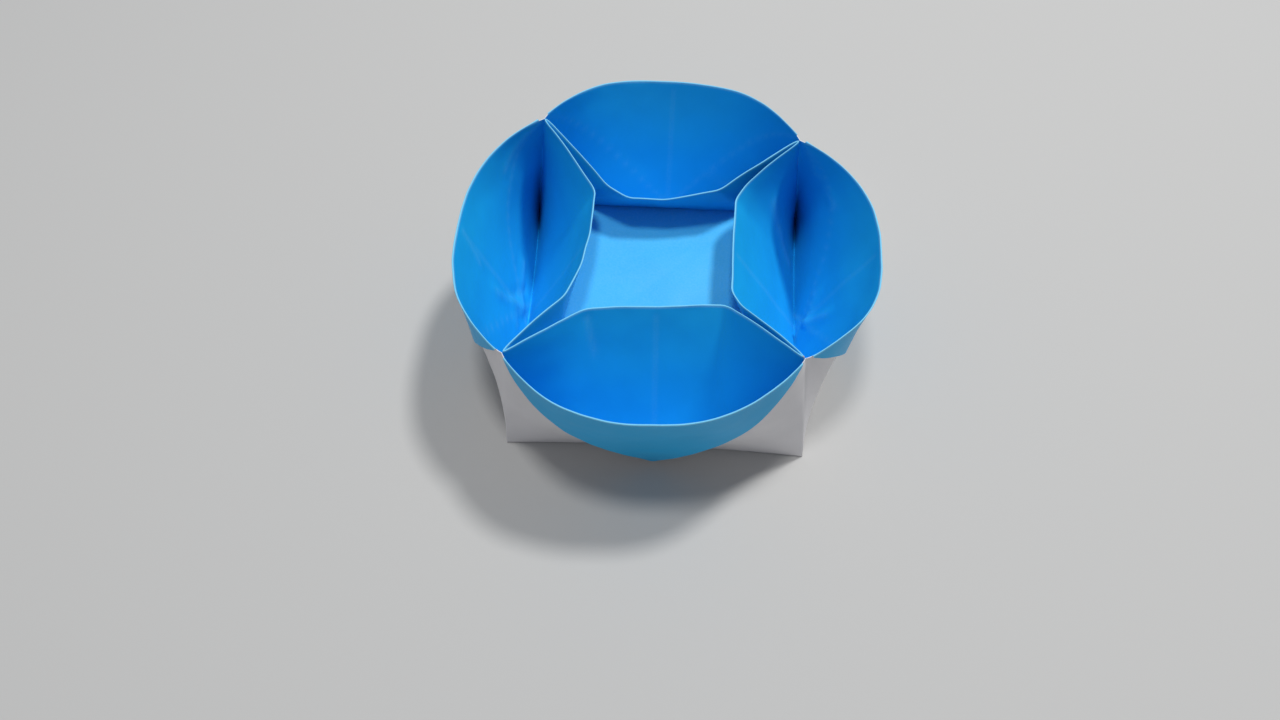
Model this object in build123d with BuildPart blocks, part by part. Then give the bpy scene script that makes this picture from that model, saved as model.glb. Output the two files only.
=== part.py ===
from build123d import *
from math import pi, sin, sqrt
import os

# One square sheet of paper, folded into a tray with a middle tray and a pocket along each side.
# A pocket is a V of two walls that share the base fold: the outer wall bows outwards and the
# inner wall leans inwards. The middle of the sheet hangs between the inner rims as a shallow
# tray, clear of the table. A triangular corner of the sheet hangs over each outer wall.
# The origin is the middle of the floor on the table, +Z is up and the front side faces -Y.

base_side = 68.0       # square base, from base fold to base fold
wall_height = 37.5     # flat height of every wall, from its base fold to its rim
corner_lean = 4.0      # how far a rim corner stands in from its base corner, along X and along Y
base_set_in = 1.0      # how far the middle of a base fold is drawn in
outer_wall = 0.35      # layers of the outer wall
inner_wall = 0.45      # layers of the inner wall
floor_height = 21.0    # top of the middle tray's floor, above the table
tray_layers = 0.3      # the middle tray's paper
tray_root = 0.1        # how far the middle tray's edge starts within the inner walls
tray_drop = 0.15       # how far below the inner rims that edge lies
fan_reach = 0.86       # share of the floor's edge that lies between the outermost bends
flap_layer = 0.25      # the flap on the outer wall
corner_fold = 1.05     # the packed layers at a corner's upright fold
corner_gap = 0.1       # opening left between the two walls at the end of a pocket
valley_rise = 0.9      # height of the joined layers in the bottom of a pocket
post_inset = 0.05      # how far the corner's upright fold stays within the walls' outer faces
rim_fullness = 2.7     # 2 makes an outer rim a parabola, and more makes it squarer
flap_stop = 1.0        # bare length of rim between a flap and each corner
flap_spring = 3.9      # how far the tip of a flap stands off the outer wall
flap_root = 0.15       # how far a flap starts within the wall that it is folded from
flap_drop = 0.1        # how far below the rim that start lies
rim_steps = 10         # sections along a flap, closer together towards the corners
bend_room = 0.06       # a section this near to a bend of the inner rim gives way to it

# The sheet was folded by hand, so each rim corner is a little off its square place
corner_shift = {
    "front_left": (0.0, -0.6),
    "front_right": (-0.2, 1.0),
    "back_right": (0.0, -3.0),
    "back_left": (1.7, 1.0),
}

# Each side runs from its left to its right end, seen from outside the tray.
# The floor edge is how far the middle tray's floor reaches from the middle towards that side.
# Bends are (place along the half side, how far the inner rim stands in from the rim corners).
sides = [
    {"turn": 0, "floor_edge": 20.9, "ends": ("front_left", "front_right"), "outer_bow": 14.1,
     "bends": [(-0.49, 11.8), (-0.23, 13.0), (0.48, 14.2)]},
    {"turn": 90, "floor_edge": 21.0, "ends": ("front_right", "back_right"), "outer_bow": 16.3,
     "bends": [(-0.51, 11.9), (-0.37, 13.8), (0.49, 13.6), (0.61, 11.6)]},
    {"turn": 180, "floor_edge": 18.8, "ends": ("back_right", "back_left"), "outer_bow": 15.7,
     "bends": [(-0.4, 12.3), (0.02, 15.5), (0.3, 15.8), (0.47, 13.8)]},
    {"turn": 270, "floor_edge": 21.0, "ends": ("back_left", "front_left"), "outer_bow": 14.3,
     "bends": [(-0.45, 12.8), (-0.08, 13.2), (0.21, 12.3), (0.5, 9.8)]},
]

half_side = base_side / 2
rim_half = half_side - corner_lean
rim_height = sqrt(wall_height**2 - 2 * corner_lean**2)
flap_reach = 1 - flap_stop / half_side
flap_depth = half_side - flap_stop


def rim_corner(name, turn):
    """Place of a rim corner, as distance along the side and outwards."""
    shift = Vector(*corner_shift[name])
    sign_x = 1 if "right" in name else -1
    sign_y = 1 if "back" in name else -1
    place = (Vector(sign_x * rim_half, sign_y * rim_half) + shift).rotate(Axis.Z, -turn)
    return place.X, -place.Y


def rim_line(side, place):
    """Straight line between the two rim corners of a side, at a place from -1 to 1."""
    left = rim_corner(side["ends"][0], side["turn"])
    right = rim_corner(side["ends"][1], side["turn"])
    share = (1 + place) / 2
    return [low * (1 - share) + high * share for low, high in zip(left, right)]


def section_plane(side, place):
    """Plane across a side: X points outwards and Y goes up the leaning wall."""
    along = rim_line(side, place)[0] - corner_fold / 2 * place
    foot = (half_side - corner_fold / 2) * place
    foot_point = Vector(foot, 0, 0).rotate(Axis.Z, side["turn"])
    outwards = Vector(0, -1, 0).rotate(Axis.Z, side["turn"])
    upwards = Vector(along - foot, 0, rim_height).rotate(Axis.Z, side["turn"])
    return Plane(origin=foot_point, x_dir=outwards, z_dir=outwards.cross(upwards))


def base_fold(place):
    return half_side - base_set_in * (1 - place**2)


def rise(run):
    """Height in the section of a wall that leans by run over its flat height."""
    return sqrt(wall_height**2 - run**2)


def outer_rim(side, place):
    out = rim_line(side, place)[1] + side["outer_bow"] * (1 - abs(place) ** rim_fullness)
    return out, rise(out - base_fold(place))


def inner_rim(side, place):
    """The inner rim is straight from bend to bend."""
    knots = [(-1.0, 0.0)] + side["bends"] + [(1.0, 0.0)]
    bow = 0.0
    for (start, low), (end, high) in zip(knots, knots[1:]):
        if start <= place <= end:
            bow = low + (high - low) * (place - start) / (end - start)
    out = rim_line(side, place)[1] - outer_wall - inner_wall - corner_gap - bow
    return out, rise(out - base_fold(place))


def pocket_section(side, place):
    """The V of the two walls, from the base fold up and back."""
    fold = base_fold(place)
    outer_x, outer_y = outer_rim(side, place)
    inner_x, inner_y = inner_rim(side, place)
    return [
        (fold, 0),
        (outer_x, outer_y),
        (outer_x - outer_wall, outer_y),
        (fold - outer_wall - corner_gap / 2, valley_rise),
        (inner_x + inner_wall, inner_y),
        (inner_x, inner_y),
        (fold - outer_wall - inner_wall - corner_gap, 0),
    ]


def flap_section(side, place):
    """A flap hangs from the outer rim, and its edge stands off the wall towards its tip."""
    rim_x, rim_y = outer_rim(side, place)
    wall = Vector(base_fold(place) - rim_x, -rim_y).normalized()
    off_wall = Vector(-wall.Y, wall.X)
    share = 1 - abs(place) / flap_reach
    stand = flap_spring * share - flap_root * (1 - share)
    start = Vector(rim_x, rim_y) + wall * flap_drop - off_wall * flap_root
    edge = Vector(rim_x, rim_y) + wall * (flap_depth * share + flap_stop) + off_wall * stand
    thick = off_wall * flap_layer
    return [start, edge, edge + thick, start + thick]


def facets(near, far):
    """Flat facets between two neighbouring sections, each creased from a low to a high corner."""
    count = len(near)
    for start in range(count):
        end = (start + 1) % count
        if near[start].Z < near[end].Z:
            yield near[start], near[end], far[end]
            yield near[start], far[end], far[start]
        else:
            yield near[start], near[end], far[start]
            yield near[end], far[end], far[start]


def faceted(rings):
    """A closed piece of folded paper through a row of sections."""
    outlines = [corners for near, far in zip(rings, rings[1:]) for corners in facets(near, far)]
    outlines += [rings[0], rings[-1]]
    with BuildPart() as piece:
        add(Solid(Shell([Face(Wire.make_polygon(corners)) for corners in outlines])))
    return piece.part


def rings_along(side, section, places):
    rings = []
    for place in places:
        plane = section_plane(side, place)
        rings.append([plane.from_local_coords(Vector(*point)) for point in section(side, place)])
    return rings


def flap_places(side):
    """Places of a flap's sections, among them every bend of the inner rim."""
    bends = [place for place, bow in side["bends"]]
    steps = [flap_reach * sin(pi * (step / rim_steps - 0.5)) for step in range(rim_steps + 1)]
    return sorted(bends + [step for step in steps if min(abs(step - bend) for bend in bends) > bend_room])


def flap(side):
    return faceted(rings_along(side, flap_section, flap_places(side)))


def pocket(side):
    return faceted(rings_along(side, pocket_section, [-1.0] + flap_places(side) + [1.0]))


def foot_place(side, place):
    """Beyond the outermost bends of an inner rim the tray's face fans out from the floor's corner."""
    first, last = side["bends"][0][0], side["bends"][-1][0]
    if place < first:
        return -1 + (1 - fan_reach) * (place + 1) / (first + 1)
    if place > last:
        return 1 - (1 - fan_reach) * (1 - place) / (1 - last)
    return fan_reach * (2 * (place - first) / (last - first) - 1)


def tray_face(order):
    """The face of the middle tray from a side's inner rim down to the floor's edge."""
    side = sides[order]
    low = -sides[order - 1]["floor_edge"] - tray_root
    high = sides[(order + 1) % len(sides)]["floor_edge"] + tray_root
    rings = []
    for place in [-1.0] + flap_places(side) + [1.0]:
        plane = section_plane(side, place)
        rim_x, rim_y = inner_rim(side, place)
        along = low + (high - low) * (1 + foot_place(side, place)) / 2
        foot = Vector(along, -side["floor_edge"], floor_height - tray_layers / 2)
        edge = [Vector(0, 0, 0), Vector(0, -tray_layers, 0)]
        rim_in, rim_out = [
            plane.from_local_coords(Vector(rim_x + tray_root - step.Y, rim_y - tray_drop)) for step in edge
        ]
        foot_in, foot_out = [(foot + step).rotate(Axis.Z, side["turn"]) for step in edge]
        rings.append([rim_in, foot_in, foot_out, rim_out])
    return faceted(rings)


def corner_post(name):
    """Upright fold of a corner, from its base corner to its rim corner."""
    sign_x = 1 if "right" in name else -1
    sign_y = 1 if "back" in name else -1
    inwards = post_inset + corner_fold / 2
    rim_x, rim_out = rim_corner(name, 0)
    with BuildPart() as post:
        for x, y, z in ((sign_x * half_side, sign_y * half_side, 0), (rim_x, -rim_out, rim_height)):
            with BuildSketch(Plane((x - sign_x * inwards, y - sign_y * inwards, z))):
                Rectangle(corner_fold, corner_fold)
        loft(ruled=True)
    return post.part


os.makedirs("parts", exist_ok=True)

with BuildPart() as tray_floor:
    with BuildSketch(Plane.XY.offset(floor_height - tray_layers)):
        with BuildLine():
            front, right, back, left = [side["floor_edge"] + tray_layers / 2 for side in sides]
            Polyline((-left, -front), (right, -front), (right, back), (-left, back), close=True)
        make_face()
    extrude(amount=tray_layers)

tray = [tray_floor.part] + [tray_face(order) for order in range(len(sides))]
walls = [pocket(side) for side in sides] + [flap(side) for side in sides]
posts = [corner_post(name) for name in corner_shift]

with BuildPart() as folded_sheet:
    add(walls + posts)
    add(tray)

folded_sheet.part.label = "folded_sheet"
export_step(folded_sheet.part, "parts/folded_sheet.step")
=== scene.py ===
import math

import bpy
import numpy as np
from mathutils import Matrix, Vector


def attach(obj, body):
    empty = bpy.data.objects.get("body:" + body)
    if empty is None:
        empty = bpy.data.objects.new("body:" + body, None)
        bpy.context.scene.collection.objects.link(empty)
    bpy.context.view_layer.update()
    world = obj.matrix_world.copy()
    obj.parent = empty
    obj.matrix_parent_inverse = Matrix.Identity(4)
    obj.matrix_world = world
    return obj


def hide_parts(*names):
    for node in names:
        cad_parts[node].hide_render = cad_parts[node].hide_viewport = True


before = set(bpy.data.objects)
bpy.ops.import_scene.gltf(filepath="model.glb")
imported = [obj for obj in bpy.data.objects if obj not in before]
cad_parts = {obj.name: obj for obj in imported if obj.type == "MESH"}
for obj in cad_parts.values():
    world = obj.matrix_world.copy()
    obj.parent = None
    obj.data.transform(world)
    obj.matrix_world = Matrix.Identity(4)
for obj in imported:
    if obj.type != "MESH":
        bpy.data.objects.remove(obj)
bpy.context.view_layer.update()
mm = 0.001

# The fold, in millimetres. The middle of one square sheet hangs between the inner rims as a shallow tray.
# Four strips leave its floor: up to an inner rim, down to the pocket's keel, up the outer wall and over
# its rim, where a corner of the sheet hangs as a flap.
tray = {
    "baseSide": 68.0,
    "wallHeight": 37.5,      # flat height of a wall
    "cornerLean": 4.0,       # a rim corner stands in this far from its base corner
    "baseSetIn": 1.0,        # the middle of a base fold is drawn in
    "rimFullness": 2.7,      # 2 makes an outer rim a parabola, and more makes it squarer
    "layer": 0.12,           # one layer of paper
    "centreDepth": 0.8,      # the middle tray's face at an inner rim, in from the corner's outside
    "pocketDepth": 0.45,     # the inner wall's face in the pocket
    "outerDepth": 0.28,      # the outer wall's face in the pocket
    "flapDepth": -0.1,       # the flap's outside, at the rim
    "keelRise": 0.06,        # the keel's paper over the table, and the walls' feet over the keel
    "flapStop": 1.0,         # bare length of rim between a flap and each corner
    "flapSpring": 3.7,       # the flap's tip stands off its wall
    "springEase": 1.15,
    "flapHem": 0.35,         # paper past the rim at a flap's two ends
    "hemReach": 0.06,
    "floorHeight": 21.0,     # the middle tray's floor
    "floorBulge": 0.35,
    "faceBulge": -0.12,      # the middle tray's faces are drawn in a little under the rims
    "cornerStop": 0.965,     # an inner rim leaves its corner's packed layers here
    "bendRounding": 0.035,   # a bend of an inner rim is rounded over this share of the half side
    "cornerEase": 8,         # the higher, the nearer to a corner a rim comes to the corner's height
    "mitreEase": 60,         # the higher, the nearer to a corner the layers are mitred
    "fanReach": 0.94,        # share of the floor's edge that lies between the outermost bends of a rim
}

# How pale the folds and the creases are rubbed, and how pale the middle tray's floor is painted as a sheen of
# the lamps
palenessOfWearAndSheen = {
    "foldReach": 0.32,       # in millimetres from a rim
    "facePaper": 13.0,       # the middle tray's face, from its floor to its rim
    "crease": 0.42,
    # Painted sheen: the whole floor is paled this much to stand in for the lamps' glossy reflection on it
    "floor": 0.5,
}

# Points of the surface. Columns run along a side and rows across the strip.
spacing = {
    "columns": 78,           # even columns between a flap's two ends
    "cornerColumns": (0.98, 0.99, 1.0),
    "faceRows": 22,
    "wallRows": 26,
    "flapRows": 28,
    "rimAngles": (35, 65, 90, 115, 145),
    "rowEase": 0.6,          # rows lie closer together at a wall's foot and rim
}

# The sheet was folded by hand, so each rim corner is a little off its square place
cornerShift = {
    "frontLeft": (0.0, -0.6),
    "frontRight": (-0.2, 1.0),
    "backRight": (0.0, -3.0),
    "backLeft": (1.7, 1.0),
}

# Each side runs left to right, seen from outside. Its floor edge is how far the middle tray's floor reaches
# towards it. A bend is (place along the half side, how far the inner rim stands in from the rim corners).
sides = [
    {"name": "front", "floorEdge": 20.9, "ends": ("frontLeft", "frontRight"), "outerBow": 14.1,
     "bends": [(-0.49, 11.8), (-0.23, 13.0), (0.48, 14.2)]},
    {"name": "right", "floorEdge": 21.0, "ends": ("frontRight", "backRight"), "outerBow": 16.3,
     "bends": [(-0.51, 11.9), (-0.37, 13.8), (0.49, 13.6), (0.61, 11.6)]},
    {"name": "back", "floorEdge": 18.8, "ends": ("backRight", "backLeft"), "outerBow": 15.7,
     "bends": [(-0.4, 12.3), (0.02, 15.5), (0.3, 15.8), (0.47, 13.8)]},
    {"name": "left", "floorEdge": 21.0, "ends": ("backLeft", "frontLeft"), "outerBow": 14.3,
     "bends": [(-0.45, 12.8), (-0.08, 13.2), (0.21, 12.3), (0.5, 9.8)]},
]

halfSide = tray["baseSide"] / 2
rimHalf = halfSide - tray["cornerLean"]
rimHeight = math.sqrt(tray["wallHeight"] ** 2 - 2 * tray["cornerLean"] ** 2)
flapReach = 1 - tray["flapStop"] / halfSide

evenPlaces = np.linspace(-flapReach, flapReach, spacing["columns"])
cornerPlaces = np.array(spacing["cornerColumns"])
places = np.concatenate([-cornerPlaces[::-1], evenPlaces, cornerPlaces])
columns = len(places)


def turned(x, y, turns):
    # Turned about the middle by quarter turns
    for _ in range(turns % 4):
        x, y = -y, x
    return x, y


def rimCorner(name, turn):
    # A rim corner as distance along the side and outwards
    signX = 1 if "Right" in name else -1
    signY = 1 if "back" in name else -1
    shiftX, shiftY = cornerShift[name]
    x, y = turned(signX * rimHalf + shiftX, signY * rimHalf + shiftY, -turn)
    return x, -y


def baseFold(place):
    return halfSide - tray["baseSetIn"] * (1 - place ** 2)


def riseOf(run):
    # Height of a wall that leans by run over its flat height
    return np.sqrt(tray["wallHeight"] ** 2 - run ** 2)


def innerBend(place, bends):
    # How far the inner rim stands in: straight from bend to bend, each bend rounded a little
    knots = [(-1.0, 0.0), (-tray["cornerStop"], 0.0)] + bends + [(tray["cornerStop"], 0.0), (1.0, 0.0)]
    xs, ys = zip(*knots)
    width = tray["bendRounding"]
    around = (-1, -0.5, 0, 0.5, 1)
    total = sum(np.interp(np.clip(place + step * width, -1, 1), xs, ys) for step in around)
    near = np.clip((1 - np.abs(place)) / (2 * width), 0, 1)
    return np.interp(place, xs, ys) * (1 - near) + total / len(around) * near


def mitreOf(depth):
    # Layers meet on the corner's diagonal, so each is shorter than the one outside it
    return depth * np.sign(places) * np.abs(places) ** tray["mitreEase"]


class Strip:
    # One side of the sheet, with its rims at every column
    def __init__(self, side, turn):
        left = rimCorner(side["ends"][0], turn)
        right = rimCorner(side["ends"][1], turn)
        share = (1 + places) / 2
        self.along = left[0] * (1 - share) + right[0] * share
        self.out = left[1] * (1 - share) + right[1] * share
        self.outerBow = side["outerBow"] * (1 - np.abs(places) ** tray["rimFullness"])
        self.innerBow = innerBend(places, side["bends"])
        self.fold = baseFold(places)
        self.floorEdge = side["floorEdge"]

        # Beyond the outermost bends the tray's face fans out from the floor's corner
        low = -sides[turn - 1]["floorEdge"]
        high = sides[(turn + 1) % len(sides)]["floorEdge"]
        fanPlaces = [-1.0, side["bends"][0][0], side["bends"][-1][0], 1.0]
        fan = np.interp(places, fanPlaces, [-1.0, -tray["fanReach"], tray["fanReach"], 1.0])
        self.footAlong = low + (high - low) * (1 + fan) / 2

        slant = rimHeight / np.hypot(self.along - halfSide * places, rimHeight)
        atCorner = np.abs(places) ** tray["cornerEase"]
        outerZ = riseOf(self.out + self.outerBow - self.fold) * slant
        innerZ = riseOf(self.out - tray["centreDepth"] - self.innerBow - self.fold) * slant
        self.outerTop = outerZ + (rimHeight - outerZ) * atCorner
        self.innerTop = innerZ + (rimHeight - innerZ) * atCorner

    def point(self, depth, bow, top, height, low=0.0):
        # A place on a wall: depth in from the outside, at this height between its foot and its rim
        mitre = mitreOf(depth)
        rimAlong = self.along - mitre
        rimOut = self.out - depth + bow
        footAlong = halfSide * places - mitre
        footOut = self.fold - depth
        part = (height - low) / (top - low)
        return footAlong + (rimAlong - footAlong) * part, footOut + (rimOut - footOut) * part, height + 0 * part


def stepsOf(count):
    # Closer together at both ends
    even = np.linspace(0, 1, count)
    return even + spacing["rowEase"] * np.sin(2 * math.pi * even) / (-2 * math.pi)


def rubbedNear(distance):
    return np.exp(-(distance / palenessOfWearAndSheen["foldReach"]) ** 2)


print("stage: sheet surface")


def stripRows(strip):
    # Rows of (along, out, height, place on the flat sheet along and up it, how worn) at every column
    rows = []
    wall = tray["wallHeight"]
    keelHeight = tray["layer"] + tray["keelRise"]
    wallFoot = keelHeight + tray["keelRise"]
    flatAlong = halfSide * places

    def addRow(*values):
        rows.append(np.broadcast_arrays(*values, places)[:-1])

    def climb(depth, bow, top, start, up):
        # Up a wall or down it, where start is the flat sheet's place at its first row
        for part in stepsOf(spacing["wallRows"])[::1 if up else -1]:
            along, out, height = strip.point(depth, bow, top, wallFoot + (top - wallFoot) * part, wallFoot)
            flatUp = start + wall * (part if up else 1 - part)
            addRow(along, out, height, flatAlong, flatUp, rubbedNear(wall * (1 - part)))

    def over(depthFrom, depthTo, bow, top, start):
        # Round a rim from one face of the fold to the other
        middle, radius = (depthFrom + depthTo) / 2, (depthFrom - depthTo) / 2
        for angle in np.radians(spacing["rimAngles"]):
            along, out, height = strip.point(middle + radius * math.cos(angle), bow, top, top)
            addRow(along, out, height + abs(radius) * math.sin(angle), flatAlong, start, 1.0)

    innerTop = strip.innerTop - (tray["centreDepth"] - tray["pocketDepth"]) / 2
    outerTop = strip.outerTop - (tray["outerDepth"] - tray["flapDepth"]) / 2

    # Up the middle tray's face, from its floor's edge to the inner rim
    edge, floor = strip.floorEdge, tray["floorHeight"]
    rimAlong, rimOut, rimTop = strip.point(tray["centreDepth"], -strip.innerBow, innerTop, innerTop)
    for part in stepsOf(spacing["faceRows"]):
        belly = tray["faceBulge"] * math.sin(math.pi * part) * (1 - places ** 2)
        addRow(strip.footAlong + (rimAlong - strip.footAlong) * part,
               edge + (rimOut - edge) * part + belly,
               floor + (rimTop - floor) * part,
               strip.footAlong + (flatAlong - strip.footAlong) * part,
               edge + (halfSide - edge) * part,
               rubbedNear(palenessOfWearAndSheen["facePaper"] * (1 - part)))
    over(tray["centreDepth"], tray["pocketDepth"], -strip.innerBow, innerTop, halfSide)

    # Down into the pocket and up its outer wall
    climb(tray["pocketDepth"], -strip.innerBow, innerTop, halfSide, False)
    keel = (tray["pocketDepth"] + tray["outerDepth"]) / 2
    addRow(flatAlong - mitreOf(keel), strip.fold - keel, keelHeight, flatAlong, halfSide + wall, 0.0)
    climb(tray["outerDepth"], strip.outerBow, outerTop, halfSide + wall, True)
    rimRow = len(rows)
    sheetUp = halfSide + 2 * wall
    over(tray["outerDepth"], tray["flapDepth"], strip.outerBow, outerTop, sheetUp)

    # The flap hangs from the rim and stands off the wall towards its tip
    rimAlong, rimOut, rimTop = strip.point(tray["flapDepth"], strip.outerBow, outerTop, outerTop)
    footAlong, footOut, _ = strip.point(tray["flapDepth"], strip.outerBow, outerTop, 0 * places)
    length = np.sqrt((footAlong - rimAlong) ** 2 + (footOut - rimOut) ** 2 + rimTop ** 2)
    downAlong, downOut, downZ = (footAlong - rimAlong) / length, (footOut - rimOut) / length, -rimTop / length
    offOut, offZ = -downZ / np.hypot(downOut, downZ), downOut / np.hypot(downOut, downZ)
    reach = np.clip(1 - np.abs(places) / flapReach, 0, 1)
    hem = tray["flapHem"] + (tray["flapStop"] - tray["flapHem"]) * np.clip(reach / tray["hemReach"], 0, 1)
    depth = (halfSide - tray["flapStop"]) * reach + hem
    for part in np.linspace(0, 1, spacing["flapRows"]):
        stand = tray["flapSpring"] * reach * part ** tray["springEase"]
        addRow(rimAlong + downAlong * depth * part,
               rimOut + downOut * depth * part + offOut * stand,
               rimTop + downZ * depth * part + offZ * stand,
               flatAlong, sheetUp + depth * part, rubbedNear(depth * part))
    return rows, rimRow


# Creases in millimetres on the flat sheet: (along, up, along, up, width, height). On a side they run along it
# and up from the sheet's middle: its inner rim is at 34, the pocket's keel at 71.5 and its outer rim at 109.
# On the floor they are (x, y, x, y, width, height).
creases = {
    "every": [(-34, 109, 3.5, 71.5, 1.3, 0.10), (34, 109, -3.5, 71.5, 1.3, 0.10), (0, 36, 0, 107, 1.2, -0.07)],
    "front": [(-16, 36, -14, 46, 1.8, -0.12)],
    "right": [(33, 108, 29.6, 100, 1.6, 0.2), (29.6, 100, 21, 98, 2.0, 0.2), (2.1, 73.5, -0.4, 77, 1.4, -0.3),
              (-1.3, 77, -4.7, 87, 1.8, 0.6), (-1.3, 77, -6, 80, 1.5, 0.5), (-1.3, 77, 5, 83, 1.6, 0.5),
              (24, 47, 21, 59, 2.4, 0.32), (21, 59, 17, 68, 2.4, 0.32)],
    "back": [(12, 42, 4, 68, 2.0, 0.12), (-13, 40, -18, 60, 2.2, -0.15), (-10, 84, -24, 80, 1.8, 0.12)],
    "left": [(3.9, 89, -0.4, 75, 1.8, 0.6), (2.1, 84, -5.6, 75, 1.5, -0.55), (-11.6, 78.5, 1.3, 76, 2.0, 0.6),
             (1, 80, 6, 77, 1.5, 0.5), (-0.4, 107, 2.1, 98, 1.4, 0.2), (-33, 108, -22.7, 102, 1.8, 0.2)],
    "floor": [(-21, -20.9, 21, 18.8, 0.9, -0.08), (-21, 18.8, 21, -20.9, 0.9, -0.08),
              (-9, -12, 6, -15, 1.4, 0.08), (8, -18, 14, -6, 1.3, 0.07)],
}


def creased(flat):
    # How far each place of the flat sheet is raised by the creases, and how much they have rubbed it pale
    ridge, rub = np.zeros(flat.shape[:2]), np.zeros(flat.shape[:2])
    lines = [(turned(line[0], -line[1], turn) + turned(line[2], -line[3], turn) + line[4:])
             for turn, side in enumerate(sides) for line in creases["every"] + creases[side["name"]]]
    for fromX, fromY, toX, toY, width, height in lines + creases["floor"]:
        start, run = np.array([fromX, fromY]), np.array([toX - fromX, toY - fromY])
        along = np.clip(((flat - start) @ run) / (run @ run), 0, 1)
        away = np.linalg.norm(flat - start - along[..., None] * run, axis=2)
        near = np.clip(1 - away / width, 0, 1)
        ridge += height * near
        rub = np.maximum(rub, near)
    return ridge, palenessOfWearAndSheen["crease"] * rub


vertices, faces, faceFlat, pushes, wearAndSheenShares, ridges = [], [], [], [], [], []


def addGrid(points, flat, push, wearAndSheenGrid, keep, order):
    # Rows by columns of points, whose faces wind so that the blue side faces out
    start = len(vertices)
    rowCount, columnCount = len(points), len(points[0])
    ridge, rub = creased(np.array(flat))
    for r in range(rowCount):
        for c in range(columnCount):
            vertices.append(points[r][c])
            pushes.append(push)
            wearAndSheenShares.append(max(wearAndSheenGrid[r][c], rub[r][c]))
            ridges.append(ridge[r][c] * mm)
    for r in range(rowCount - 1):
        for c in range(columnCount - 1):
            if keep(r, c):
                corners = [(r, c), (r, c + 1), (r + 1, c + 1), (r + 1, c)][::order]
                faces.append([start + i * columnCount + j for i, j in corners])
                faceFlat.append([flat[i][j] for i, j in corners])


strips = [Strip(side, turn) for turn, side in enumerate(sides)]
flapFirst = len(cornerPlaces)
flapLast = flapFirst + spacing["columns"] - 1
for turn, strip in enumerate(strips):
    rows, rimRow = stripRows(strip)
    points, flat, wearAndSheenGrid = [], [], []
    for along, out, height, flatAlong, flatUp, paleShare in rows:
        points.append([turned(along[c], -out[c], turn) + (height[c],) for c in range(columns)])
        flat.append([turned(flatAlong[c], -flatUp[c], turn) for c in range(columns)])
        wearAndSheenGrid.append(paleShare)
    outwards = turned(0.0, -1.0, turn) + (0.0,)
    # The walls reach from corner to corner, and the flap only between its own ends
    addGrid(points, flat, outwards, wearAndSheenGrid, lambda r, c: r < rimRow - 1 or flapFirst <= c < flapLast, -1)

# The floor joins the feet of the four faces
frontFoot, rightFoot, backFoot, leftFoot = [strip.footAlong for strip in strips]
floorPoints, floorFlat = [], []
for r, q in enumerate(places):
    rowPoints, rowFlat = [], []
    for c, p in enumerate(places):
        x = frontFoot[c] * (1 - q) / 2 - backFoot[columns - 1 - c] * (1 + q) / 2
        y = rightFoot[r] * (1 + p) / 2 - leftFoot[columns - 1 - r] * (1 - p) / 2
        z = tray["floorHeight"] + tray["floorBulge"] * (1 - p ** 2) * (1 - q ** 2)
        rowPoints.append((x, y, z))
        rowFlat.append((x, y))
    floorPoints.append(rowPoints)
    floorFlat.append(rowFlat)
# The floor is paled evenly as a painted sheen of the lamps, carried along with the rubbed places of the walls
floorPaintedSheen = np.full((columns, columns), palenessOfWearAndSheen["floor"])
addGrid(floorPoints, floorFlat, (0.0, 0.0, 1.0), floorPaintedSheen, lambda r, c: True, 1)

flatUnit = 100     # millimetres of flat sheet in one unit of its UV map
mesh = bpy.data.meshes.new("foldedSheetSurface")
mesh.from_pydata([(x * mm, y * mm, z * mm) for x, y, z in vertices], [], faces)
flatMap = mesh.uv_layers.new(name="flatSheet")
flatPlaces = [value / flatUnit for corners in faceFlat for place in corners for value in place]
flatMap.data.foreach_set("uv", flatPlaces)
pushOut = mesh.attributes.new("push", "FLOAT_VECTOR", "POINT")
pushOut.data.foreach_set("vector", [value for push in pushes for value in push])
# The paleness attribute holds real fold and crease wear on the walls and a painted sheen on the floor
for name, values in (("foldWearAndFloorSheen", wearAndSheenShares), ("ridge", ridges)):
    mesh.attributes.new(name, "FLOAT", "POINT").data.foreach_set("value", values)
print("stage: surface has", len(faces), "faces")

print("stage: paper materials")

paper = {
    "blue": (0.012, 0.47, 0.9, 1.0),
    # Pale blue of rubbed folds and creases, also used as the painted sheen on the middle tray's floor
    "blueWearAndSheen": (0.22, 0.68, 0.98, 1.0),
    "white": (0.86, 0.84, 0.85, 1.0),
    "edge": (0.82, 0.88, 0.93, 1.0),
    "mottle": 0.06,          # the colour varies by this share either way
    "roughness": 0.46,
    "specular": 0.3,
    "bump": 0.12,
    "bumpHeight": 0.0001,
    # The fibre breaks up the floor's painted sheen in the same way
    "wearAndSheenGrain": 0.9,        # how much the fibre breaks up a rubbed place
}

# Noise of the paper, as scale, detail and roughness
grains = {
    "Mottle": (130.0, 3.0, 0.5),
    "Height": (2200.0, 4.0, 0.65),
}


def mathNode(tree, operation, *values, clamp=False):
    node = tree.nodes.new("ShaderNodeMath")
    node.operation = operation
    node.use_clamp = clamp
    for socket, value in zip(node.inputs, values):
        if isinstance(value, (int, float)):
            socket.default_value = value
        else:
            tree.links.new(value, socket)
    return node.outputs[0]


def colourMix(tree, factor, first, second):
    # First and second are each a colour or the output of a node
    node = tree.nodes.new("ShaderNodeMix")
    node.data_type = "RGBA"
    tree.links.new(factor, node.inputs["Factor"])
    for name, colour in (("A", first), ("B", second)):
        if isinstance(colour, tuple):
            node.inputs[name].default_value = colour
        else:
            tree.links.new(colour, node.inputs[name])
    return node.outputs["Result"]


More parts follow.
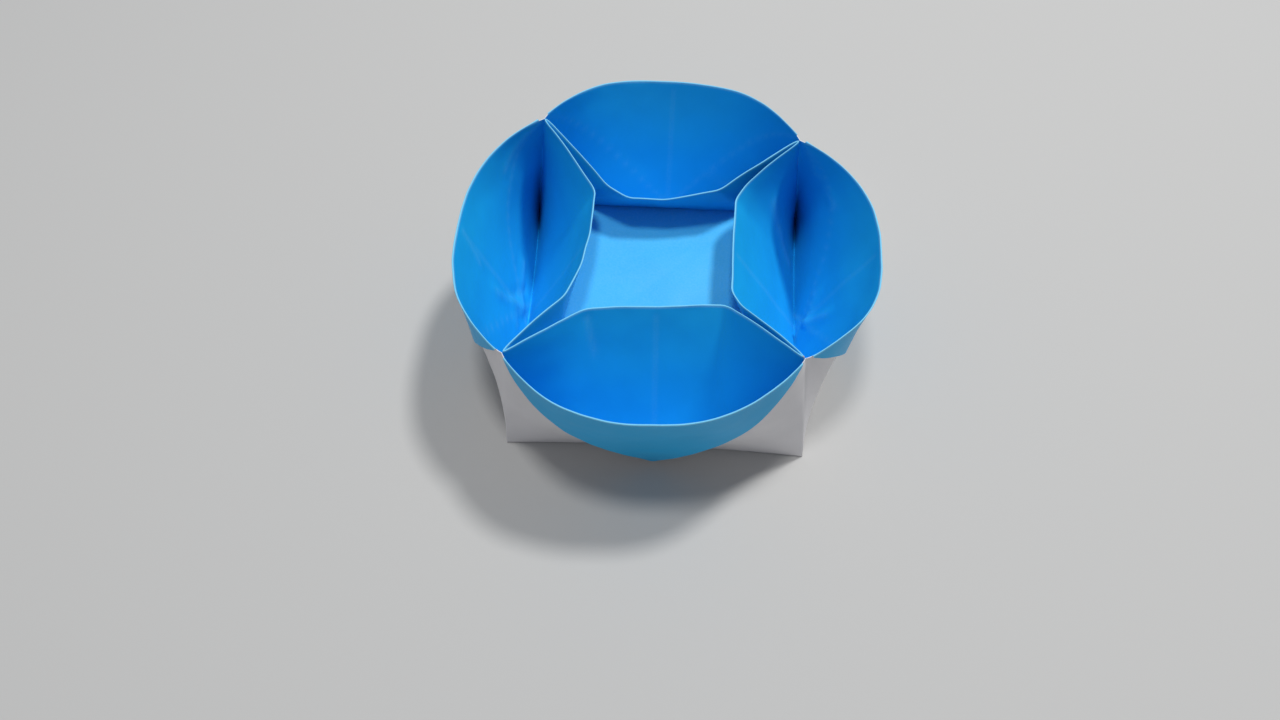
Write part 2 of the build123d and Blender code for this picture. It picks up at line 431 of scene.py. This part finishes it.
def fibreGroup():
    # Mottle for the colour and fine fibre for the bump, shared by both faces and the cut edge of the paper
    group = bpy.data.node_groups.new("paperFibre", "ShaderNodeTree")
    group.interface.new_socket("Place", in_out="INPUT", socket_type="NodeSocketVector")
    for name in grains:
        group.interface.new_socket(name, in_out="OUTPUT", socket_type="NodeSocketFloat")
    source = group.nodes.new("NodeGroupInput")
    target = group.nodes.new("NodeGroupOutput")
    for name, (scale, detail, roughness) in grains.items():
        noise = group.nodes.new("ShaderNodeTexNoise")
        noise.inputs["Scale"].default_value = scale
        noise.inputs["Detail"].default_value = detail
        noise.inputs["Roughness"].default_value = roughness
        group.links.new(source.outputs["Place"], noise.inputs["Vector"])
        group.links.new(noise.outputs["Fac"], target.inputs[name])
    return group


fibre = fibreGroup()


def paperMaterial(name, colour, wearAndSheenColour=None):
    material = bpy.data.materials.new(name)
    material.use_nodes = True
    tree = material.node_tree
    principled = tree.nodes["Principled BSDF"]
    principled.inputs["Roughness"].default_value = paper["roughness"]
    principled.inputs["Specular IOR Level"].default_value = paper["specular"]
    place = tree.nodes.new("ShaderNodeTexCoord")
    grain = tree.nodes.new("ShaderNodeGroup")
    grain.node_tree = fibre
    tree.links.new(place.outputs["Object"], grain.inputs["Place"])

    darker, lighter = [tuple(min(1.0, share * value) for value in colour[:3]) + (1.0,)
                       for share in (1 - paper["mottle"], 1 + paper["mottle"])]
    result = colourMix(tree, grain.outputs["Mottle"], darker, lighter)
    if wearAndSheenColour:
        # A rubbed place is paler, and so is the floor under its painted sheen; the edge of either is broken up
        # by the fibre
        paleShare = tree.nodes.new("ShaderNodeAttribute")
        paleShare.attribute_name = "foldWearAndFloorSheen"
        spread = paper["wearAndSheenGrain"]
        broken = mathNode(tree, "MULTIPLY_ADD", grain.outputs["Height"], spread, -spread / 2)
        amount = mathNode(tree, "ADD", paleShare.outputs["Fac"], broken)
        amount = mathNode(tree, "MULTIPLY", amount, paleShare.outputs["Fac"], clamp=True)
        result = colourMix(tree, amount, result, wearAndSheenColour)
    tree.links.new(result, principled.inputs["Base Color"])

    bump = tree.nodes.new("ShaderNodeBump")
    bump.inputs["Strength"].default_value = paper["bump"]
    bump.inputs["Distance"].default_value = paper["bumpHeight"]
    tree.links.new(grain.outputs["Height"], bump.inputs["Height"])
    tree.links.new(bump.outputs["Normal"], principled.inputs["Normal"])
    return material


blueFace = paperMaterial("bluePaperFace", paper["blue"], paper["blueWearAndSheen"])
whiteFace = paperMaterial("whitePaperBack", paper["white"])
cutEdge = paperMaterial("paperCutEdge", paper["edge"])

print("stage: thickness, cockle and creases")

# Values of the node tree's inputs, with lengths in metres
layering = {
    "Layer thickness": tray["layer"] * mm,
    "Cockle depth": 0.0011,
    "Cockle scale": 75.0,
    "Seed": 3.0,
    "Blue face": blueFace,
    "White back": whiteFace,
    "Cut edge": cutEdge,
}

cockling = {
    "detail": 2.0,
    "roughness": 0.45,
    "fullHeight": 0.006,     # the paper is flat at the table and cockles fully about this far above it
    "flatShare": 0.06,
}

weldDistance = 0.00001     # between neighbouring strips
closeDistance = 0.000001   # between the two faces and the cut edge


def layerTree():
    # Cockles and creases the blue side, then gives the sheet its thickness, white back and cut edge
    tree = bpy.data.node_groups.new("paperSheetLayers", "GeometryNodeTree")
    tree.interface.new_socket("Geometry", in_out="INPUT", socket_type="NodeSocketGeometry")
    for name, value in layering.items():
        kind = "NodeSocketFloat" if isinstance(value, float) else "NodeSocketMaterial"
        tree.interface.new_socket(name, in_out="INPUT", socket_type=kind)
    tree.interface.new_socket("Geometry", in_out="OUTPUT", socket_type="NodeSocketGeometry")
    nodes, links = tree.nodes, tree.links
    source = nodes.new("NodeGroupInput")
    target = nodes.new("NodeGroupOutput")

    def named(name, kind):
        node = nodes.new("GeometryNodeInputNamedAttribute")
        node.data_type = kind
        node.inputs["Name"].default_value = name
        return node.outputs["Attribute"]

    def merged(geometry, distance):
        node = nodes.new("GeometryNodeMergeByDistance")
        node.inputs["Distance"].default_value = distance
        links.new(geometry, node.inputs["Geometry"])
        return node.outputs["Geometry"]

    def moved(geometry, direction, amount):
        scaled = nodes.new("ShaderNodeVectorMath")
        scaled.operation = "SCALE"
        links.new(direction, scaled.inputs["Vector"])
        links.new(amount, scaled.inputs["Scale"])
        node = nodes.new("GeometryNodeSetPosition")
        links.new(geometry, node.inputs["Geometry"])
        links.new(scaled.outputs["Vector"], node.inputs["Offset"])
        return node.outputs["Geometry"]

    def faced(geometry, name, selection=None):
        node = nodes.new("GeometryNodeSetMaterial")
        links.new(geometry, node.inputs["Geometry"])
        links.new(source.outputs[name], node.inputs["Material"])
        if selection is not None:
            links.new(selection, node.inputs["Selection"])
        return node.outputs["Geometry"]

    # Cockle moves every layer of a wall the same way, and nothing near the table
    where = nodes.new("GeometryNodeInputPosition").outputs["Position"]
    noise = nodes.new("ShaderNodeTexNoise")
    noise.noise_dimensions = "4D"
    noise.inputs["Detail"].default_value = cockling["detail"]
    noise.inputs["Roughness"].default_value = cockling["roughness"]
    links.new(where, noise.inputs["Vector"])
    links.new(source.outputs["Seed"], noise.inputs["W"])
    links.new(source.outputs["Cockle scale"], noise.inputs["Scale"])
    split = nodes.new("ShaderNodeSeparateXYZ")
    links.new(where, split.inputs["Vector"])
    lifted = mathNode(tree, "MULTIPLY_ADD", split.outputs["Z"], 1 / cockling["fullHeight"],
                      -cockling["flatShare"], clamp=True)
    amount = mathNode(tree, "SUBTRACT", noise.outputs["Fac"], 0.5)
    amount = mathNode(tree, "MULTIPLY", amount, source.outputs["Cockle depth"])
    amount = mathNode(tree, "MULTIPLY", amount, lifted)
    cockled = moved(merged(source.outputs["Geometry"], weldDistance), named("push", "FLOAT_VECTOR"), amount)

    # Creases raise or sink the blue side along its own normal
    normal = nodes.new("GeometryNodeInputNormal").outputs["Normal"]
    creasedFace = moved(cockled, normal, named("ridge", "FLOAT"))

    extrude = nodes.new("GeometryNodeExtrudeMesh")
    extrude.inputs["Individual"].default_value = False
    links.new(creasedFace, extrude.inputs["Mesh"])
    inwards = mathNode(tree, "MULTIPLY", source.outputs["Layer thickness"], -1.0)
    links.new(inwards, extrude.inputs["Offset Scale"])
    back = faced(faced(extrude.outputs["Mesh"], "White back"), "Cut edge", extrude.outputs["Side"])
    flip = nodes.new("GeometryNodeFlipFaces")
    links.new(back, flip.inputs["Mesh"])

    join = nodes.new("GeometryNodeJoinGeometry")
    links.new(flip.outputs["Mesh"], join.inputs["Geometry"])
    links.new(faced(creasedFace, "Blue face"), join.inputs["Geometry"])
    smooth = nodes.new("GeometryNodeSetShadeSmooth")
    links.new(merged(join.outputs["Geometry"], closeDistance), smooth.inputs["Geometry"])
    realize = nodes.new("GeometryNodeRealizeInstances")
    links.new(smooth.outputs["Geometry"], realize.inputs["Geometry"])
    links.new(realize.outputs["Geometry"], target.inputs["Geometry"])
    return tree


surface = bpy.data.objects.new("foldedSheetSurface", mesh)
bpy.context.scene.collection.objects.link(surface)
modifier = surface.modifiers.new("layers", "NODES")
modifier.node_group = layerTree()
for item in modifier.node_group.interface.items_tree:
    if item.in_out == "INPUT" and item.name in layering:
        modifier[item.identifier] = layering[item.name]
bpy.context.view_layer.update()
graph = bpy.context.evaluated_depsgraph_get()
evaluated = surface.evaluated_get(graph)
sheetMesh = bpy.data.meshes.new_from_object(evaluated, preserve_all_data_layers=True, depsgraph=graph)
foldSharpness = 65     # degrees between two faces, from which their edge is shaded sharp
sheetMesh.set_sharp_from_angle(angle=math.radians(foldSharpness))
bpy.data.objects.remove(surface)
sheet = bpy.data.objects.new("folded_sheet_paper", sheetMesh)
bpy.context.scene.collection.objects.link(sheet)
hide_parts("folded_sheet")
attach(sheet, "root")
print("stage: sheet has", len(sheetMesh.polygons), "faces,", [m.name for m in sheetMesh.materials])

print("stage: table, light and camera")

table = {
    "colour": (0.58, 0.575, 0.56, 1.0),
    "reach": 1.6,
    "drop": 0.00002,         # keeps the table just clear of the paper
    "roughness": 0.9,
    "specular": 0.1,
}
tableMesh = bpy.data.meshes.new("tableTop")
tableCorners = [turned(-table["reach"], -table["reach"], turn) + (0,) for turn in range(4)]
tableMesh.from_pydata(tableCorners, [], [(0, 1, 2, 3)])
tableTop = bpy.data.objects.new("tableTop", tableMesh)
tableTop.location.z = -table["drop"]
bpy.context.scene.collection.objects.link(tableTop)
tableMaterial = bpy.data.materials.new("plainTable")
tableMaterial.use_nodes = True
tablePaint = tableMaterial.node_tree.nodes["Principled BSDF"].inputs
tablePaint["Base Color"].default_value = table["colour"]
tablePaint["Roughness"].default_value = table["roughness"]
tablePaint["Specular IOR Level"].default_value = table["specular"]
tableMesh.materials.append(tableMaterial)

# The camera sees a plain pale background instead of the dim light around
studio = {
    "light": (0.85, 0.90, 1.0, 1.0),
    "strength": 0.24,
    "seen": (0.70, 0.70, 0.69, 1.0),
}
world = bpy.data.worlds.new("studio")
bpy.context.scene.world = world
world.use_nodes = True
around = world.node_tree
light = around.nodes["Background"]
light.inputs["Color"].default_value = studio["light"]
light.inputs["Strength"].default_value = studio["strength"]
seen = around.nodes.new("ShaderNodeBackground")
seen.inputs["Color"].default_value = studio["seen"]
lightPath = around.nodes.new("ShaderNodeLightPath")
either = around.nodes.new("ShaderNodeMixShader")
around.links.new(lightPath.outputs["Is Camera Ray"], either.inputs["Fac"])
around.links.new(light.outputs["Background"], either.inputs[1])
around.links.new(seen.outputs["Background"], either.inputs[2])
around.links.new(either.outputs["Shader"], around.nodes["World Output"].inputs["Surface"])

# One lamp to the right and behind the tray, and one over it
lamps = [
    {"name": "rightLamp", "place": (0.36, 0.35, 1.0), "power": 6.5, "size": 0.15},
    {"name": "overLamp", "place": (-0.04, 0.05, 1.0), "power": 3.0, "size": 0.16},
]
for lamp in lamps:
    lampData = bpy.data.lights.new(lamp["name"], "AREA")
    lampData.shape = "DISK"
    lampData.size = lamp["size"]
    lampData.energy = lamp["power"]
    holder = bpy.data.objects.new(lamp["name"], lampData)
    place = Vector(lamp["place"])
    facing = (-place).to_track_quat("-Z", "Y").to_matrix().to_4x4()
    holder.matrix_world = Matrix.Translation(place) @ facing
    bpy.context.scene.collection.objects.link(holder)

# Angles in radians and lengths in metres, and the lens in millimetres
view = {
    "turn": 0.09766,
    "lift": 1.07544,
    "roll": -0.04206,
    "distance": 0.199687,
    "target": (-0.003665, -0.018833, 0.015),
    "lens": 25.3125,
    "sensor": 36.0,
    "nearest": 0.01,
}
level = math.cos(view["lift"])
back = Vector((math.sin(view["turn"]) * level, -math.cos(view["turn"]) * level, math.sin(view["lift"])))
right = (-back).cross(Vector((0, 0, 1))).normalized()
up = right.cross(-back)
rolledRight = right * math.cos(view["roll"]) + up * math.sin(view["roll"])
rolledUp = up * math.cos(view["roll"]) - right * math.sin(view["roll"])
cameraData = bpy.data.cameras.new("photoCamera")
cameraData.sensor_width = view["sensor"]
cameraData.lens = view["lens"]
cameraData.clip_start = view["nearest"]
camera = bpy.data.objects.new("photoCamera", cameraData)
axes = Matrix((rolledRight, rolledUp, back)).transposed().to_4x4()
camera.matrix_world = Matrix.Translation(Vector(view["target"]) + back * view["distance"]) @ axes
bpy.context.scene.collection.objects.link(camera)
bpy.context.scene.camera = camera
bpy.context.scene.view_settings.view_transform = "Standard"
